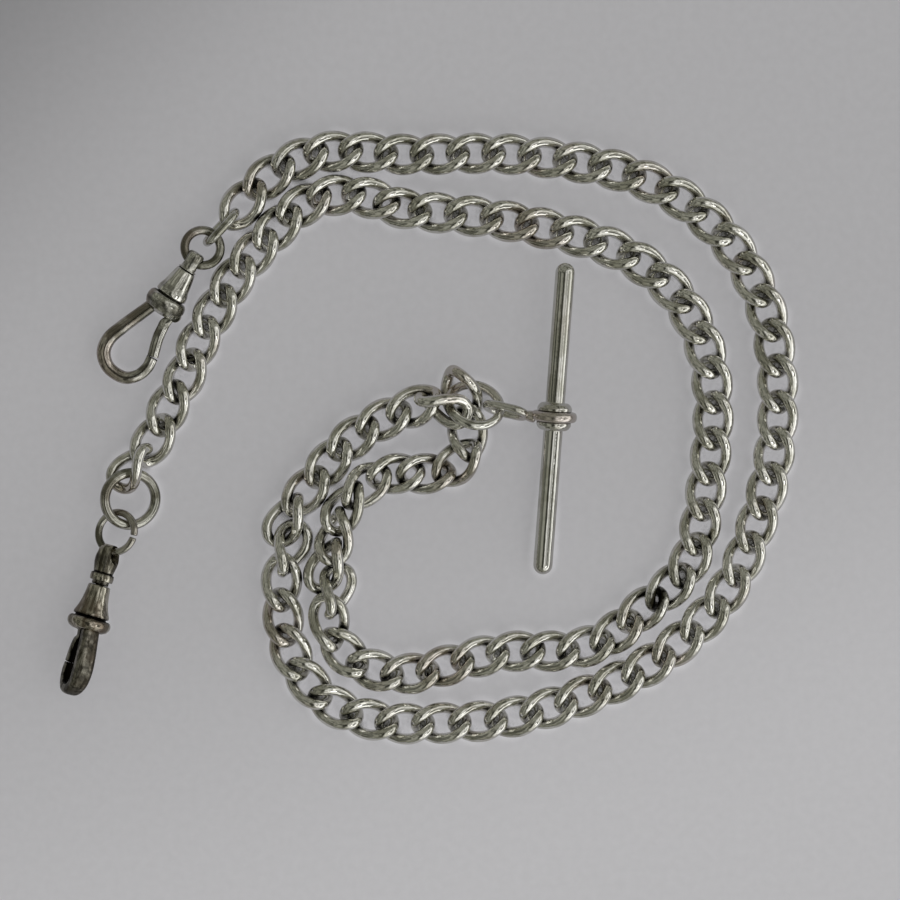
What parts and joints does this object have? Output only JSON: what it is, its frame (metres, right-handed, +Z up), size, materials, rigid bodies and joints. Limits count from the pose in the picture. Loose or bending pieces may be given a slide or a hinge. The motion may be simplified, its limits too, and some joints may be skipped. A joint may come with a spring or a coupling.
{
  "type": "albert watch chain",
  "caption": "Double albert watch chain lying in a loose coil: two strands of curb links, swivel clips at their ends and a turning bar on a ring.",
  "frame": {"origin": "middle of the bounding box, on the surface that the chain lies on", "axes": "+X to the picture's right, +Y to its top, +Z up from the surface"},
  "size_m": [0.0957, 0.0794, 0.0065],
  "materials": {
    "silver": "polished silver, worn, with olive grey tarnish",
    "worn_silver": "dulled silver",
    "dark_silver": "silver with brown black tarnish"
  },
  "bodies": {
    "chains": {"chain_outer": "silver", "chain_inner": "silver", "clip_a_link": "silver", "clip_a_ring": "silver", "clip_a_eye": "silver", "clip_b_ring_large": "worn_silver", "clip_b_ring_small": "worn_silver", "clip_b_eye": "dark_silver", "centre_ring": "silver", "bar_collar": "silver"},
    "clip_a_barrel": {"clip_a_barrel": "silver"},
    "clip_a_gate": {"clip_a_gate": "silver"},
    "clip_b_barrel": {"clip_b_barrel": "dark_silver"},
    "clip_b_gate": {"clip_b_gate": "dark_silver"},
    "t_bar": {"t_bar": "silver"}
  },
  "joints": [
    {"name": "clip_a_swivel", "type": "hinge", "parent": "chains", "child": "clip_a_barrel", "pos_m": [-0.0335, 0.0183, 0.0028], "axis": [-0.5455, -0.8336, -0.0872], "continuous": true},
    {"name": "clip_a_gate_hinge", "type": "hinge", "parent": "clip_a_barrel", "child": "clip_a_gate", "pos_m": [-0.03284, 0.01566, 0.00264], "axis": [0.0477, 0.0729, -0.9962], "range_deg": [0, 18], "stiffness_Nm_per_rad": 0.002, "springref_deg": -17.19},
    {"name": "clip_b_swivel", "type": "hinge", "parent": "chains", "child": "clip_b_barrel", "pos_m": [-0.0438, -0.0233, 0.00295], "axis": [-0.2664, -0.9607, 0.0785], "continuous": true},
    {"name": "clip_b_gate_hinge", "type": "hinge", "parent": "clip_b_barrel", "child": "clip_b_gate", "pos_m": [-0.04511, -0.02433, 0.0012], "axis": [-0.841, 0.2715, 0.468], "range_deg": [0, 18], "stiffness_Nm_per_rad": 0.002, "springref_deg": -17.19},
    {"name": "bar_spin", "type": "hinge", "parent": "chains", "child": "t_bar", "pos_m": [0.0163, 0.00273, 0.003], "axis": [0.073, 0.9937, 0.0854], "continuous": true}
  ]
}
